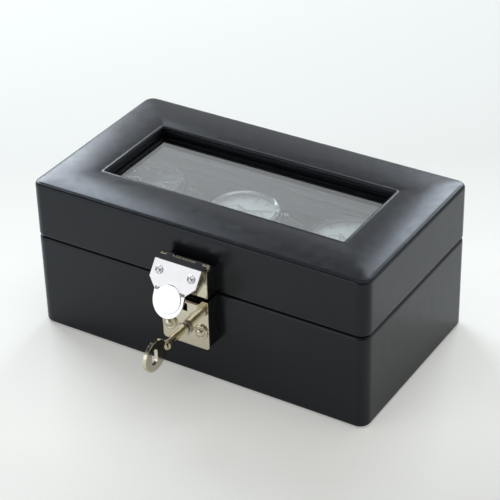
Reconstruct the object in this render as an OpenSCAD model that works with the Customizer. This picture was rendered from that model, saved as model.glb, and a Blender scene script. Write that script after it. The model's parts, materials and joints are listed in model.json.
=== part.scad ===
// Three-place watch display box: a leather covered case with a padded, glazed lid,
// three watch cushions, and a front lock with a swinging hasp and a key.
// Origin: centre of the underside. +X right, +Y back, +Z up. The lid is closed and the hasp hangs open.

/* [Box] */
// Width of the box, left to right
box_w = 200; // [186:1:240]
// Depth of the box, front to back
box_d = 112; // [108:1:140]
// Height of the covered base shell
base_h = 54.8; // [53:0.2:64]
// Height of the lid, from its lower rim to the crown of the padded top
lid_h = 33.5; // [31:0.5:44]
// Thickness of the covered wooden walls
wall = 7; // [5:0.5:9]
// Thickness of the floor of the base
floor_t = 6.6; // [4:0.2:8]
// Radius of the upright corners
corner_r = 6; // [5.5:0.5:9]
// Radius of the rolled leather edges
edge_r = 1.8; // [0.6:0.2:2.4]
// Gap between the two rims when the lid is closed
seam_gap = 0.2; // [0.1:0.1:1]
// Thickness of the felt under the base
felt_t = 1.2; // [0.8:0.1:2]
// How far the felt stands out of the base
felt_proud = 0.4; // [0.2:0.1:0.6]

/* [Lid top] */
// Width of the leather border between the box's side and the window
border_w = 28.3; // [24:0.1:34]
// Width of the rolled rim round the padded top
rim_w = 3.2; // [2:0.1:5]
// How far the rolled rim lies below the crown of the padding
rim_drop = 1.2; // [0.4:0.1:2]
// Thickness of the padding at its crown
pad_t = 4.3; // [3:0.1:6]
// Thickness of the leather covered frame that lines the window
frame_t = 2.2; // [1.6:0.1:3]
// Radius of the bead along the top of the window frame
bead_r = 1.3; // [0.9:0.1:1.6]
// Depth of the glass below the bead
glass_drop = 5.6; // [5:0.1:7]
// Thickness of the glass pane
glass_t = 3; // [2:0.1:3.5]
// How far the glass reaches under the window frame on each side
glass_lap = 5; // [3:0.5:8]

/* [Lining] */
// Thickness of the velvet covered lining walls
liner_t = 2; // [1:0.1:3]
// Thickness of the lining's floor and of the ledge that holds the glass
liner_floor_t = 1.5; // [0.8:0.1:2.5]
// How far the base lining stops below the rim
liner_drop = 5.7; // [2:0.1:8]
// Thickness of a divider between two cushions
divider_t = 4; // [2:0.5:6]
// How far the dividers stop below the top of the lining
divider_drop = 4; // [1:0.5:10]

/* [Cushions and watches] */
// Width of a cushion along the box
cushion_w = 50; // [44:1:54]
// Length of a cushion, front to back
cushion_l = 74; // [66:1:80]
// Height of a cushion
cushion_h = 51.6; // [46:0.2:52]
// How far the cushions sit in front of the middle of the box
cushion_shift = 5; // [0:0.5:8]
// Width of a watch strap
strap_w = 16; // [12:1:18]
// Thickness of a watch strap
strap_t = 2; // [1.5:0.1:2.4]
// Radius of the left watch case
left_case_r = 21.5; // [18:0.5:24]
// Radius of the middle watch case
middle_case_r = 20.5; // [18:0.5:24]
// Radius of the right watch case
right_case_r = 23.5; // [18:0.5:24]
// Thickness of a watch case without its bezel
case_h = 7.2; // [6:0.1:8]
// Height of a bezel above its case
bezel_h = 2.6; // [2:0.1:3]
// Width of the rounded ring of a bezel
bezel_w = 3.6; // [3:0.1:4.5]

/* [Hinges] */
// Distance of the middle of each back hinge from the end of the box
hinge_inset = 38; // [25:1:60]
// Width of a hinge
hinge_w = 26; // [20:1:34]
// Height of one hinge leaf, measured from the pin
leaf_h = 13; // [10:0.5:18]
// Thickness of a hinge leaf
leaf_t = 1.2; // [0.8:0.1:1.6]
// Outer radius of the hinge barrel
barrel_r = 2.3; // [2.1:0.1:3]
// Radius of the hinge pin
hinge_pin_r = 1.05; // [0.8:0.05:1.2]

/* [Lock] */
// Width of the lock and of the hasp
lock_w = 28; // [26:0.5:34]
// Height of the lock on the base
lock_h = 29.3; // [28:0.1:34]
// How far the lock stops below the rim of the base
lock_drop = 1.4; // [0.8:0.1:3]
// Thickness of the black lock bodies
lock_body_t = 7.3; // [7:0.1:10]
// Thickness of the nickel face plates
plate_t = 1; // [0.8:0.1:1.4]
// Height of the shield shaped catch housing
shield_h = 14.9; // [14:0.1:15.5]
// Half the width of the shield at its top
shield_half_w = 10.7; // [9:0.1:12]
// How far the shield stands out of the face plate
shield_t = 3.7; // [3:0.1:5]
// Distance of the lock's axis above its lower edge
plug_rise = 10; // [9:0.1:10.5]
// Radius of the turning plug
plug_r = 3.4; // [3.2:0.1:3.6]
// Radius of the shoulder on the front of the plug
plug_lip_r = 4; // [3.9:0.1:4.2]
// Distance of each large lock screw from the middle
lock_screw_x = 9.5; // [9.3:0.1:10]
// Radius of a large lock screw's head
lock_head_r = 4.2; // [3:0.1:4.3]
// Radius of a large lock screw's shank
lock_shank_r = 1.5; // [1:0.1:1.7]

/* [Hasp] */
// Height of the block on the lid that carries the hasp
hasp_block_h = 15.8; // [14:0.1:17]
// Radius of the hasp's hinge barrel
hasp_barrel_r = 1.6; // [1.4:0.1:1.8]
// Radius of the hasp's hinge pin
hasp_pin_r = 0.8; // [0.6:0.05:0.9]
// Distance of the hasp's pin from the front of the box
hasp_pin_out = 5.5; // [5.5:0.1:6]
// Reach of the hasp's top flange in front of its pin
flange_l = 6.5; // [6:0.1:8]
// Length of the wide upper leaf of the hasp
upper_leaf_l = 14; // [12:0.5:15]
// Tilt of the upper leaf from upright, as the hasp hangs open
upper_tilt = 38; // [34:1:42]
// Tilt of the tongue from upright, as the hasp hangs open
tongue_tilt = 24; // [20:1:28]
// Half the width of the tongue
tongue_r = 9; // [8:0.1:10]
// Straight length of the tongue above its round tip
tongue_l = 4; // [2:0.5:6]
// Thickness of the hasp's sheet metal
hasp_t = 1; // [0.8:0.1:1.2]
// Angle that the hasp swings from hanging open to closed
hasp_close = 26; // [20:1:28]
// Distance of the hasp's rivets from the middle
rivet_x = 9.5; // [8:0.1:10]

/* [Key] */
// Radius of the key's stem
stem_r = 2; // [1.8:0.1:2.1]
// Length of the stem outside the lock
stem_l = 18; // [12:0.5:22]
// Half the length of the bow, along the stem
bow_a = 9.5; // [8:0.1:11]
// Half the height of the bow
bow_b = 8.3; // [7:0.1:9]
// Thickness of the bow
bow_t = 2; // [1.4:0.1:2.4]

/* [Clearances] */
// Gap between lining, dividers, glass and what they fit into
fit_gap = 0.2; // [0.1:0.05:0.4]
// Gap beside soft pieces
soft_gap = 0.3; // [0.3:0.05:0.5]
// Radial clearance of a pin or shaft that turns
run_gap = 0.05; // [0.02:0.01:0.1]
// Side clearance of knuckles and sliding metal
side_gap = 0.2; // [0.1:0.05:0.3]
// Travel of a cushion under the closed lid
cushion_lift = 4.5; // [2:0.5:4.5]

/* [Hidden] */
$fn = 48;

// A hair's breadth that cuts run past the surfaces they cut
over = 0.5;

// Levels of the base and the lid
base_z0 = felt_proud;
base_z1 = base_z0 + base_h;
inner_floor_z = base_z0 + floor_t;
liner_floor_z = inner_floor_z + liner_floor_t;
liner_z1 = base_z1 - liner_drop;
lid_z0 = base_z1 + seam_gap;
lid_z1 = lid_z0 + lid_h;
rim_z = lid_z1 - rim_drop;
pad_z0 = lid_z1 - pad_t;
glass_z1 = lid_z1 - glass_drop;
glass_z0 = glass_z1 - glass_t;
ledge_z = glass_z0 - liner_floor_t;

// Plan sizes
inner_w = box_w - 2 * wall;
inner_d = box_d - 2 * wall;
liner_w = inner_w - 2 * fit_gap;
liner_d = inner_d - 2 * fit_gap;
cell_space_w = liner_w - 2 * liner_t;
cell_space_d = liner_d - 2 * liner_t;
cell_w = (cell_space_w - 2 * divider_t) / 3;
cell_pitch = cell_w + divider_t;
window_w = box_w - 2 * border_w;
window_d = box_d - 2 * border_w;
frame_w = window_w + 2 * frame_t;
frame_d = window_d + 2 * frame_t;
glass_w = window_w + 2 * glass_lap;
glass_d = window_d + 2 * glass_lap;
recess_w = box_w - 2 * rim_w;
recess_d = box_d - 2 * rim_w;
pad_gap = 0.4;
front_y = -box_d / 2;
back_y = box_d / 2;

// Hinges
hinge_x = box_w / 2 - hinge_inset;
hinge_y = back_y + barrel_r + soft_gap;
hinge_z = (base_z1 + lid_z0) / 2;
knuckle_pitch = hinge_w / 5;
hinge_screw_x = hinge_w / 2 - 5;
hinge_screw_drop = leaf_h - 3.6;
wood_screw_r = 0.9;
wood_screw_l = 5;
hinge_screw_head_r = 1.9;
hinge_screw_head_h = 0.9;

// Lock
lock_z1 = base_z1 - lock_drop;
lock_z0 = lock_z1 - lock_h;
plate_y = front_y - lock_body_t;
face_y = plate_y - plate_t;
shield_tip_r = 1.4;
plug_z = lock_z0 + plug_rise;
cavity_half_w = 6.9;
cavity_back = 1.5;
cavity_z0 = lock_z0 + 3;
cavity_z1 = lock_z1 - 1;
slot_half_w = 4;
slot_h = 4.8;
slot_z0 = lock_z1 - slot_h - 1.2;
cam_t = 1;
cam_r = 4.4;
cam_pin_r = 0.8;
cam_throw = 2.8;
collar_r = 4.8;
collar_l = 2.2;
bolt_t = 1.2;
bolt_y1 = front_y - cavity_back - side_gap;
bolt_travel = 2 * cam_throw * sin(45);
bolt_tip_z = slot_z0 - 1.6;
plug_back_y = plate_y + collar_l + side_gap;

// Hasp
block_z0 = lid_z0 + 0.8;
block_z1 = block_z0 + hasp_block_h;
pin_y = front_y - hasp_pin_out;
pin_z = block_z1 + hasp_barrel_r;
flange_z = pin_z + hasp_barrel_r - 0.15;
fold_y = pin_y - flange_l;
fold_z = flange_z - hasp_t / 2;
crease_y = fold_y - upper_leaf_l * sin(upper_tilt);
crease_z = fold_z - upper_leaf_l * cos(upper_tilt);
hasp_half_w = lock_w / 2 - side_gap;
hasp_screw_x = 7;
hasp_screw_rise = 6;
hasp_screw_head_r = 1.8;
hasp_screw_head_h = 0.8;
outer_knuckle_l = 3;
flap_knuckle_l = 3.8;
flap_knuckle_x0 = hasp_half_w - outer_knuckle_l - side_gap - flap_knuckle_l;
rivet_drop = 5.2;
rivet_r = 2.3;
rivet_shank_r = 1.1;
catch_t = 0.8;
hook_w = 6.4;
flap_reach = tongue_l + 2 * tongue_r;
hook_t = 2;
hook_window_half_w = 1.9;

// Where the crease lies when the hasp is closed, and from it the place and length of the hook
closed_crease_y = pin_y + (crease_y - pin_y) * cos(hasp_close) - (crease_z - pin_z) * sin(hasp_close);
closed_crease_z = pin_z + (crease_y - pin_y) * sin(hasp_close) + (crease_z - pin_z) * cos(hasp_close);
closed_tilt = tongue_tilt - hasp_close;
hook_z = slot_z0 + slot_h / 2 - 0.2;
hook_down = (closed_crease_z - hook_z) / cos(closed_tilt);
hook_root_y = closed_crease_y - hook_down * sin(closed_tilt) + hasp_t / 2 * cos(closed_tilt);
bolt_tongue_y = plate_y + bolt_t + side_gap;
hook_tip_y = bolt_tongue_y + 1.7;
hook_l = hook_tip_y - hook_root_y;

// Cushions and watches
cushion_a = cushion_l / 2;
cushion_b = cushion_h / 2;
strap_z0 = liner_floor_z + soft_gap;
cushion_z = strap_z0 + strap_t + soft_gap + cushion_b;
case_z0 = cushion_z + cushion_b + soft_gap;
case_z1 = case_z0 + case_h;
dial_t = 0.6;
dial_z0 = case_z1 - 1.4;
case_r = [left_case_r, middle_case_r, right_case_r];
pillow_power = 2.6;
crown_r = 1.9;
crown_l = 2.4;
crown_stem_r = 0.75;

function watch_x(i) = (i - 1) * cell_pitch;
function watch_y() = -cushion_shift;

// A rectangle whose four corners are true arcs
module round_rect(w, h, r) {
    square([w - 2 * r, h], center = true);
    square([w, h - 2 * r], center = true);
    for (sx = [-1, 1]) {
        for (sy = [-1, 1]) {
            translate([sx * (w / 2 - r), sy * (h / 2 - r)]) circle(r);
        }
    }
}

// The outer strip of a block, with its lower and upper outer corners rolled over
module edge_strip(r, h, rb, rt) {
    square([r - rb, h / 2]);
    translate([0, h / 2]) square([r - rt, h / 2]);
    translate([0, rb]) square([r, h - rb - rt]);
    translate([r - rb, rb]) circle(rb);
    translate([r - rt, h - rt]) circle(rt);
}

// A block with round upright corners and rolled lower and upper edges
module rolled_block(w, d, h, r, rb, rt) {
    translate([0, 0, h / 2]) cube([w - 2 * r, d - 2 * r, h], center = true);
    for (side = [0, 1]) {
        for (turn = [0, 180]) {
            rotate(turn + side * 90) {
                translate([(side == 0 ? w : d) / 2 - r, 0, 0]) rotate([90, 0, 0])
                    linear_extrude((side == 0 ? d : w) - 2 * r, center = true) edge_strip(r, h, rb, rt);
            }
        }
    }
    for (corner = [[1, 1, 0], [-1, 1, 90], [-1, -1, 180], [1, -1, 270]]) {
        translate([corner[0] * (w / 2 - r), corner[1] * (d / 2 - r), 0]) rotate(corner[2])
            rotate_extrude(angle = 90) edge_strip(r, h, rb, rt);
    }
}

// One profile run round a rectangle with mitred corners; its x is the distance outwards from the
// rectangle and its y is the height. It stays within reach_in and reach_out of the rectangle.
module mitred_frame(w, d, h, reach_in, reach_out) {
    for (side = [0, 1]) {
        for (turn = [0, 180]) {
            rotate(turn + side * 90) mitred_side(side == 0 ? w : d, side == 0 ? d : w, h, reach_in, reach_out)
                children();
        }
    }
}

module mitred_side(w, d, h, reach_in, reach_out) {
    intersection() {
        translate([0, -d / 2, 0]) rotate([90, 0, -90])
            linear_extrude(w + 2 * reach_out + 2, center = true) children();
        translate([0, 0, -over]) linear_extrude(h + 2 * over) polygon([
            [-w / 2 + reach_in, -d / 2 + reach_in],
            [w / 2 - reach_in, -d / 2 + reach_in],
            [w / 2 + reach_out, -d / 2 - reach_out],
            [-w / 2 - reach_out, -d / 2 - reach_out]
        ]);
    }
}

// A cylinder that runs along Y, from y towards -Y
module front_cylinder(x, y, z, r, h) {
    translate([x, y, z]) rotate([90, 0, 0]) cylinder(r = r, h = h);
}

// A flat outline in X and Z, made solid from y towards -Y
module front_slab(y, t) {
    translate([0, y, 0]) rotate([90, 0, 0]) linear_extrude(t) children();
}

// Base of the box

module base_shell() {
    color([0.06, 0.06, 0.07]) difference() {
        translate([0, 0, base_z0]) rolled_block(box_w, box_d, base_h, corner_r, edge_r, edge_r);
        translate([-inner_w / 2, -inner_d / 2, inner_floor_z]) cube([inner_w, inner_d, base_h]);
        translate([0, 0, base_z0 - over]) linear_extrude(felt_t - felt_proud + over) felt_outline(0);
        hinge_screw_places(-1) wood_screw_hole();
        for (sx = [-1, 1]) {
            translate([sx * lock_screw_x, front_y - over, lock_screw_z()]) rotate([-90, 0, 0])
                cylinder(r = lock_shank_r + run_gap, h = wood_screw_l + over);
        }
    }
}

module felt_outline(gap) {
    round_rect(box_w - 2 * corner_r - 2 * gap, box_d - 2 * corner_r - 2 * gap, 3);
}

module base_felt() {
    color([0.05, 0.05, 0.055]) linear_extrude(felt_t) felt_outline(fit_gap);
}

module base_lining() {
    color([0.10, 0.10, 0.11]) difference() {
        translate([0, 0, inner_floor_z])
            rolled_block(liner_w, liner_d, liner_z1 - inner_floor_z, liner_t, 0.2, liner_t / 2);
        translate([-cell_space_w / 2, -cell_space_d / 2, liner_floor_z])
            cube([cell_space_w, cell_space_d, liner_z1]);
    }
}

module divider(side) {
    color([0.10, 0.10, 0.11])
    translate([side * cell_pitch / 2, 0, liner_floor_z]) rotate([90, 0, 0])
    linear_extrude(cell_space_d - 2 * fit_gap, center = true) {
        divider_h = liner_z1 - divider_drop - liner_floor_z;
        translate([-divider_t / 2, 0]) square([divider_t, divider_h - divider_t / 2]);
        translate([0, divider_h - divider_t / 2]) circle(divider_t / 2);
    }
}

// Back hinges

module knuckles(list) {
    for (k = list) {
        translate([-hinge_w / 2 + k * knuckle_pitch + side_gap / 2, 0, 0]) rotate([0, 90, 0])
            cylinder(r = barrel_r, h = knuckle_pitch - side_gap);
    }
}

// A leaf of a back hinge about its own pin; up is 1 for the lid's leaf and -1 for the base's
module hinge_leaf(own, other, up) {
    leaf_y = back_y - hinge_y;
    difference() {
        union() {
            mirror([0, 0, up < 0 ? 1 : 0]) translate([-hinge_w / 2 + side_gap / 2, leaf_y, 0])
                cube([hinge_w - side_gap, leaf_t, leaf_h]);
            knuckles(own);
        }
        for (k = other) {
            translate([-hinge_w / 2 + k * knuckle_pitch - side_gap / 2, leaf_y - over, -barrel_r - side_gap])
                cube([knuckle_pitch + side_gap, barrel_r + hinge_y, 2 * barrel_r + 2 * side_gap]);
        }
        rotate([0, 90, 0]) cylinder(r = hinge_pin_r + run_gap, h = hinge_w + 2, center = true);
        for (sx = [-1, 1]) {
            translate([sx * hinge_screw_x, leaf_y - over, up * hinge_screw_drop]) rotate([-90, 0, 0])
                cylinder(r = wood_screw_r + run_gap, h = leaf_t + 2 * over);
        }
    }
}

module lower_leaf(side) {
    color([0.55, 0.54, 0.50]) translate([side * hinge_x, hinge_y, hinge_z])
        hinge_leaf([0, 2, 4], [1, 3], -1);
}

module upper_leaf(side) {
    color([0.55, 0.54, 0.50]) translate([side * hinge_x, hinge_y, hinge_z])
        hinge_leaf([1, 3], [0, 2, 4], 1);
}

module hinge_pin(side) {
    head_t = 0.6;
    color([0.60, 0.59, 0.56]) translate([side * hinge_x, hinge_y, hinge_z]) rotate([0, 90, 0]) {
        cylinder(r = hinge_pin_r, h = hinge_w + 2 * run_gap, center = true);
        for (end = [-1, 1]) {
            translate([0, 0, end * (hinge_w + head_t) / 2])
                cylinder(r = hinge_pin_r + 0.5, h = head_t, center = true);
        }
    }
}

// The screws of both hinges; up is 1 for the lid's leaves and -1 for the base's
module hinge_screw_places(up) {
    for (side = [-1, 1]) {
        for (sx = [-1, 1]) {
            translate([side * hinge_x + sx * hinge_screw_x, back_y, hinge_z + up * hinge_screw_drop])
                children();
        }
    }
}

// A pilot hole in a wall's back face
module wood_screw_hole() {
    rotate([90, 0, 0]) translate([0, 0, -over]) cylinder(r = wood_screw_r + run_gap, h = wood_screw_l + over);
}

// A round headed wood screw through a hinge leaf
module wood_screw() {
    rotate([90, 0, 0]) translate([0, 0, -leaf_t]) cylinder(r = wood_screw_r, h = leaf_t + wood_screw_l - 0.3);
    translate([0, leaf_t, 0]) rotate([-90, 0, 0]) rotate_extrude()
        dome_profile(hinge_screw_head_r, hinge_screw_head_h);
}

module hinge_screws(up) {
    color([0.60, 0.60, 0.55]) hinge_screw_places(up) wood_screw();
}

// Half the outline of a low dome, r wide and h high, as a fine arc
module dome_profile(r, h) {
    big = (r * r + h * h) / (2 * h);
    half_angle = asin(r / big);
    steps = 8;
    polygon(concat([[0, 0]], [for (i = [0 : steps]) let (a = half_angle * (1 - i / steps))
        [big * sin(a), h - big + big * cos(a)]]));
}

// Lock on the front of the base

function lock_screw_z() = plug_z + 0.5;

module lock_outline(w, z0, z1, r) {
    translate([0, z0 + r]) square_up(w, z1 - z0 - r);
    translate([0, z0]) square_up(w - 2 * r, r);
    for (sx = [-1, 1]) {
        translate([sx * (w / 2 - r), z0 + r]) circle(r);
    }
}

// A rectangle that stands on the origin
module square_up(w, h) {
    translate([-w / 2, 0]) square([w, h]);
}

module catch_slot(y0, depth) {
    front_slab(y0, depth) translate([0, slot_z0]) square_up(2 * slot_half_w, slot_h);
}

module lock_body() {
    color([0.05, 0.05, 0.05]) difference() {
        front_slab(front_y, lock_body_t) lock_outline(lock_w - 2 * side_gap, lock_z0, lock_z1, 2);
        front_slab(front_y - cavity_back, lock_body_t)
            translate([0, cavity_z0]) square_up(2 * cavity_half_w, cavity_z1 - cavity_z0);
        for (sx = [-1, 1]) {
            front_cylinder(sx * lock_screw_x, front_y + over, lock_screw_z(), lock_shank_r + run_gap,
                lock_body_t + 2 * over);
        }
    }
}

module lock_face_plate() {
    color([0.72, 0.70, 0.62]) difference() {
        union() {
            front_slab(plate_y, plate_t) lock_outline(lock_w, lock_z0, lock_z1, 2);
            front_cylinder(0, plate_y + collar_l, plug_z, collar_r, collar_l + plate_t);
        }
        front_cylinder(0, plate_y + collar_l + over, plug_z, plug_r + run_gap, collar_l + plate_t + 2 * over);
        catch_slot(plate_y + over, plate_t + 2 * over);
        for (sx = [-1, 1]) {
            front_cylinder(sx * lock_screw_x, plate_y + over, lock_screw_z(), lock_shank_r + run_gap,
                plate_t + 2 * over);
        }
    }
}

// Outline of the shield, drawn in by inset from its edge
module shield_outline(inset) {
    shoulder_z = lock_z1 - 3.4;
    waist_z = lock_z1 - 5.8;
    tip_z = lock_z1 - shield_h + shield_tip_r;
    top = shield_half_w - inset;
    waist = shield_half_w - 3.2 - inset;
    tip_r = shield_tip_r - inset / 2;
    polygon([
        [-top, lock_z1 - inset / 2], [top, lock_z1 - inset / 2],
        [top, shoulder_z], [waist, waist_z],
        [tip_r, tip_z], [-tip_r, tip_z], [-waist, waist_z], [-top, shoulder_z]
    ]);
    translate([0, tip_z]) circle(tip_r);
}

module catch_housing() {
    color([0.72, 0.70, 0.62]) difference() {
        union() {
            front_slab(face_y, shield_t - 0.7) shield_outline(0);
            front_slab(face_y, shield_t - 0.3) shield_outline(0.35);
            front_slab(face_y, shield_t) shield_outline(0.8);
        }
        catch_slot(face_y + over, shield_t + 2 * over);
    }
}

module lock_screws() {
    color([0.74, 0.72, 0.66]) for (sx = [-1, 1]) {
        translate([sx * lock_screw_x, face_y, lock_screw_z()]) rotate([90, 0, 0]) {
            rotate_extrude() {
                square([lock_head_r, 0.9]);
                translate([lock_head_r - 0.7, 0.9]) circle(0.55);
                translate([0, 0.9]) dome_profile(lock_head_r - 1.5, 2.1);
            }
            translate([0, 0, -lock_body_t - plate_t - wood_screw_l + 0.4])
                cylinder(r = lock_shank_r, h = lock_body_t + plate_t + wood_screw_l - 0.4);
        }
    }
}

module lock_plug() {
    slot_w = 1.6;
    color([0.62, 0.60, 0.54]) difference() {
        union() {
            front_cylinder(0, plug_back_y, plug_z, plug_r, collar_l + side_gap + plate_t + run_gap);
            front_cylinder(0, face_y - run_gap, plug_z, plug_lip_r, 1);
        }
        front_cylinder(0, plug_back_y + over, plug_z, stem_r + run_gap, lock_body_t);
        translate([-slot_w / 2, face_y - 2, plug_z]) cube([slot_w, lock_body_t, stem_r + 1]);
    }
}

module lock_cam() {
    color([0.60, 0.58, 0.52]) {
        front_cylinder(0, plug_back_y + cam_t, plug_z, cam_r, cam_t);
        front_cylinder(cam_throw * cos(45), plug_back_y + cam_t + bolt_t + side_gap,
            plug_z - cam_throw * sin(45), cam_pin_r, bolt_t + side_gap + 0.1);
    }
}

module lock_bolt() {
    half_w = cavity_half_w - side_gap;
    foot_z = plug_z - 5;
    web_z = plug_z + 6.5;
    color([0.60, 0.58, 0.52]) difference() {
        union() {
            front_slab(bolt_y1, bolt_t) translate([0, foot_z]) square_up(2 * half_w, web_z - foot_z);
            translate([-half_w, bolt_tongue_y - bolt_t, web_z - bolt_t])
                cube([2 * half_w, bolt_y1 - bolt_tongue_y + bolt_t, bolt_t]);
            front_slab(bolt_tongue_y, bolt_t) translate([0, web_z - bolt_t])
                square_up(2 * hook_window_half_w - 0.8, bolt_tip_z - web_z + bolt_t);
        }
        translate([0.8, bolt_y1 - bolt_t - over, plug_z - cam_throw * sin(45) - cam_pin_r - 0.2])
            cube([3.4, bolt_t + 2 * over, 2 * cam_pin_r + 0.4]);
    }
}

module key() {
    front_end = face_y - 1 - run_gap;
    back_end = plug_back_y - side_gap;
    bow_y = front_end - stem_l - bow_a;
    color([0.66, 0.64, 0.58]) {
        front_cylinder(0, back_end, plug_z, stem_r, back_end - front_end + stem_l + 1);
        front_cylinder(0, front_end - 0.4, plug_z, stem_r + 0.9, 1.4);
        front_cylinder(0, front_end - stem_l + 2.2, plug_z, stem_r + 0.7, 1.4);
        translate([-0.7, front_end + 0.6, plug_z]) cube([1.4, back_end - front_end - 0.6, stem_r + 0.8]);
        translate([-bow_t / 2, 0, 0]) rotate([90, 0, 90]) linear_extrude(bow_t) difference() {
            union() {
                translate([bow_y, plug_z]) oval(bow_a, bow_b);
                translate([bow_y + bow_a - 2, plug_z - 1.6]) square([3, 3.2]);
            }
            translate([bow_y - 1.5, plug_z]) round_rect(5, 9, 2.4);
        }
    }
}

// An oval by formula, a long and b high
module oval(a, b) {
    polygon([for (i = [0 : 47]) [a * cos(i * 7.5), b * sin(i * 7.5)]]);
}

// Lid

module lid_shell() {
    plate_open_w = frame_w + 2 * fit_gap;
    plate_open_d = frame_d + 2 * fit_gap;
    color([0.06, 0.06, 0.07]) difference() {
        translate([0, 0, lid_z0]) rolled_block(box_w, box_d, rim_z - lid_z0, corner_r, edge_r, edge_r);
        translate([-inner_w / 2, -inner_d / 2, lid_z0 - over])
            cube([inner_w, inner_d, glass_z0 - lid_z0 + over]);
        translate([0, 0, pad_z0]) linear_extrude(pad_t) round_rect(recess_w, recess_d, corner_r - rim_w);
        translate([-plate_open_w / 2, -plate_open_d / 2, lid_z0]) cube([plate_open_w, plate_open_d, lid_h]);
        translate([-glass_w / 2 - fit_gap, -glass_d / 2 - fit_gap, glass_z0 - over])
            cube([glass_w + 2 * fit_gap, glass_d + 2 * fit_gap, glass_t + over]);
        hinge_screw_places(1) wood_screw_hole();
        hasp_screw_places() rotate([-90, 0, 0]) translate([0, 0, -over])
            cylinder(r = wood_screw_r + run_gap, h = wood_screw_l + over);
    }
}

module lid_pad() {
    pad_w = rim_inner_reach() - pad_gap;
    steps = 18;
    edge_h = 0.9;
    color([0.07, 0.07, 0.08]) intersection() {
        translate([0, 0, pad_z0])
            mitred_frame(frame_w + 2 * pad_gap, frame_d + 2 * pad_gap, pad_t, 0, pad_w) polygon(concat(
                [[0, 0]],
                [for (i = [0 : steps]) let (u = i / steps)
                    [u * pad_w, edge_h + (pad_t - edge_h) * pad_crown(u)]],
                [[pad_w, 0]]
            ));
        translate([0, 0, pad_z0]) linear_extrude(pad_t + 1)
            round_rect(recess_w - 2 * pad_gap, recess_d - 2 * pad_gap, corner_r - rim_w - pad_gap);
    }
}

// Distance from the window frame's gap to the rolled rim
function rim_inner_reach() = border_w - rim_w - frame_t - pad_gap;

// Height of the padding across its width, from 0 at both edges to 1 at the crown
function pad_crown(u) = pow(1 - pow(abs(2 * u - 1), 3), 1 / 2.2);

module window_frame() {
    frame_h = lid_z1 - glass_z1 - bead_r;
    color([0.06, 0.06, 0.07]) translate([0, 0, glass_z1])
        mitred_frame(window_w, window_d, lid_z1 - glass_z1, 0.3, frame_t + 0.5) {
            square([frame_t, frame_h]);
            translate([bead_r - 0.2, frame_h]) circle(bead_r);
        }
}

module glass_pane() {
    color([0.60, 0.68, 0.70, 0.35]) translate([-glass_w / 2, -glass_d / 2, glass_z0])
        cube([glass_w, glass_d, glass_t]);
}

module lid_lining() {
    lining_z0 = lid_z0 + 2;
    color([0.10, 0.10, 0.11]) difference() {
        translate([-liner_w / 2, -liner_d / 2, lining_z0]) cube([liner_w, liner_d, glass_z0 - lining_z0]);
        translate([-cell_space_w / 2, -cell_space_d / 2, lining_z0 - over])
            cube([cell_space_w, cell_space_d, ledge_z - lining_z0 + over]);
        translate([-window_w / 2, -window_d / 2, lining_z0]) cube([window_w, window_d, lid_h]);
    }
}

// Hasp on the front of the lid

module hasp_screw_places() {
    for (sx = [-1, 1]) {
        translate([sx * hasp_screw_x, front_y, block_z0 + hasp_screw_rise]) children();
    }
}

module hasp_block() {
    color([0.05, 0.05, 0.05]) difference() {
        front_slab(front_y, lock_body_t)
            translate([0, block_z0]) square_up(lock_w - 2 * side_gap, hasp_block_h - plate_t);
        hasp_screw_places() rotate([90, 0, 0]) translate([0, 0, -over])
            cylinder(r = wood_screw_r + run_gap, h = lock_body_t + 2 * over);
    }
}

module hasp_pin_bore() {
    translate([0, pin_y, pin_z]) rotate([0, 90, 0])
        cylinder(r = hasp_pin_r + run_gap, h = lock_w + 2, center = true);
}

module hasp_base_plate() {
    lug_h = pin_z - block_z1;
    color([0.72, 0.70, 0.62]) difference() {
        union() {
            front_slab(plate_y, plate_t) translate([0, block_z0]) square_up(lock_w, hasp_block_h);
            translate([-lock_w / 2, face_y, block_z1 - plate_t])
                cube([lock_w, pin_y - face_y + hasp_barrel_r, plate_t]);
            for (side = [-1, 1]) {
                translate([side * (hasp_half_w - outer_knuckle_l / 2), pin_y, pin_z]) rotate([0, 90, 0])
                    cylinder(r = hasp_barrel_r, h = outer_knuckle_l, center = true);
                translate([side * (hasp_half_w - outer_knuckle_l / 2) - outer_knuckle_l / 2,
                    pin_y - hasp_barrel_r, block_z1 - plate_t])
                    cube([outer_knuckle_l, 2 * hasp_barrel_r, lug_h + plate_t]);
            }
        }
        hasp_pin_bore();
        hasp_screw_places() rotate([90, 0, 0])
            cylinder(r = wood_screw_r + run_gap, h = lock_body_t + plate_t + over);
    }
}

module hasp_block_screws() {
    color([0.70, 0.68, 0.62]) hasp_screw_places() {
        rotate([90, 0, 0]) translate([0, 0, 0.4 - wood_screw_l])
            cylinder(r = wood_screw_r, h = lock_body_t + plate_t + wood_screw_l - 0.4);
        translate([0, -lock_body_t - plate_t, 0]) rotate([90, 0, 0]) rotate_extrude()
            dome_profile(hasp_screw_head_r, hasp_screw_head_h);
    }
}

module hasp_pin() {
    color([0.66, 0.64, 0.58]) translate([0, pin_y, pin_z]) rotate([0, 90, 0]) {
        cylinder(r = hasp_pin_r, h = 2 * hasp_half_w + 2 * run_gap, center = true);
        for (end = [-1, 1]) {
            translate([0, 0, end * (hasp_half_w + run_gap + 0.3)])
                cylinder(r = hasp_pin_r + 0.35, h = 0.6, center = true);
        }
    }
}

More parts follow.
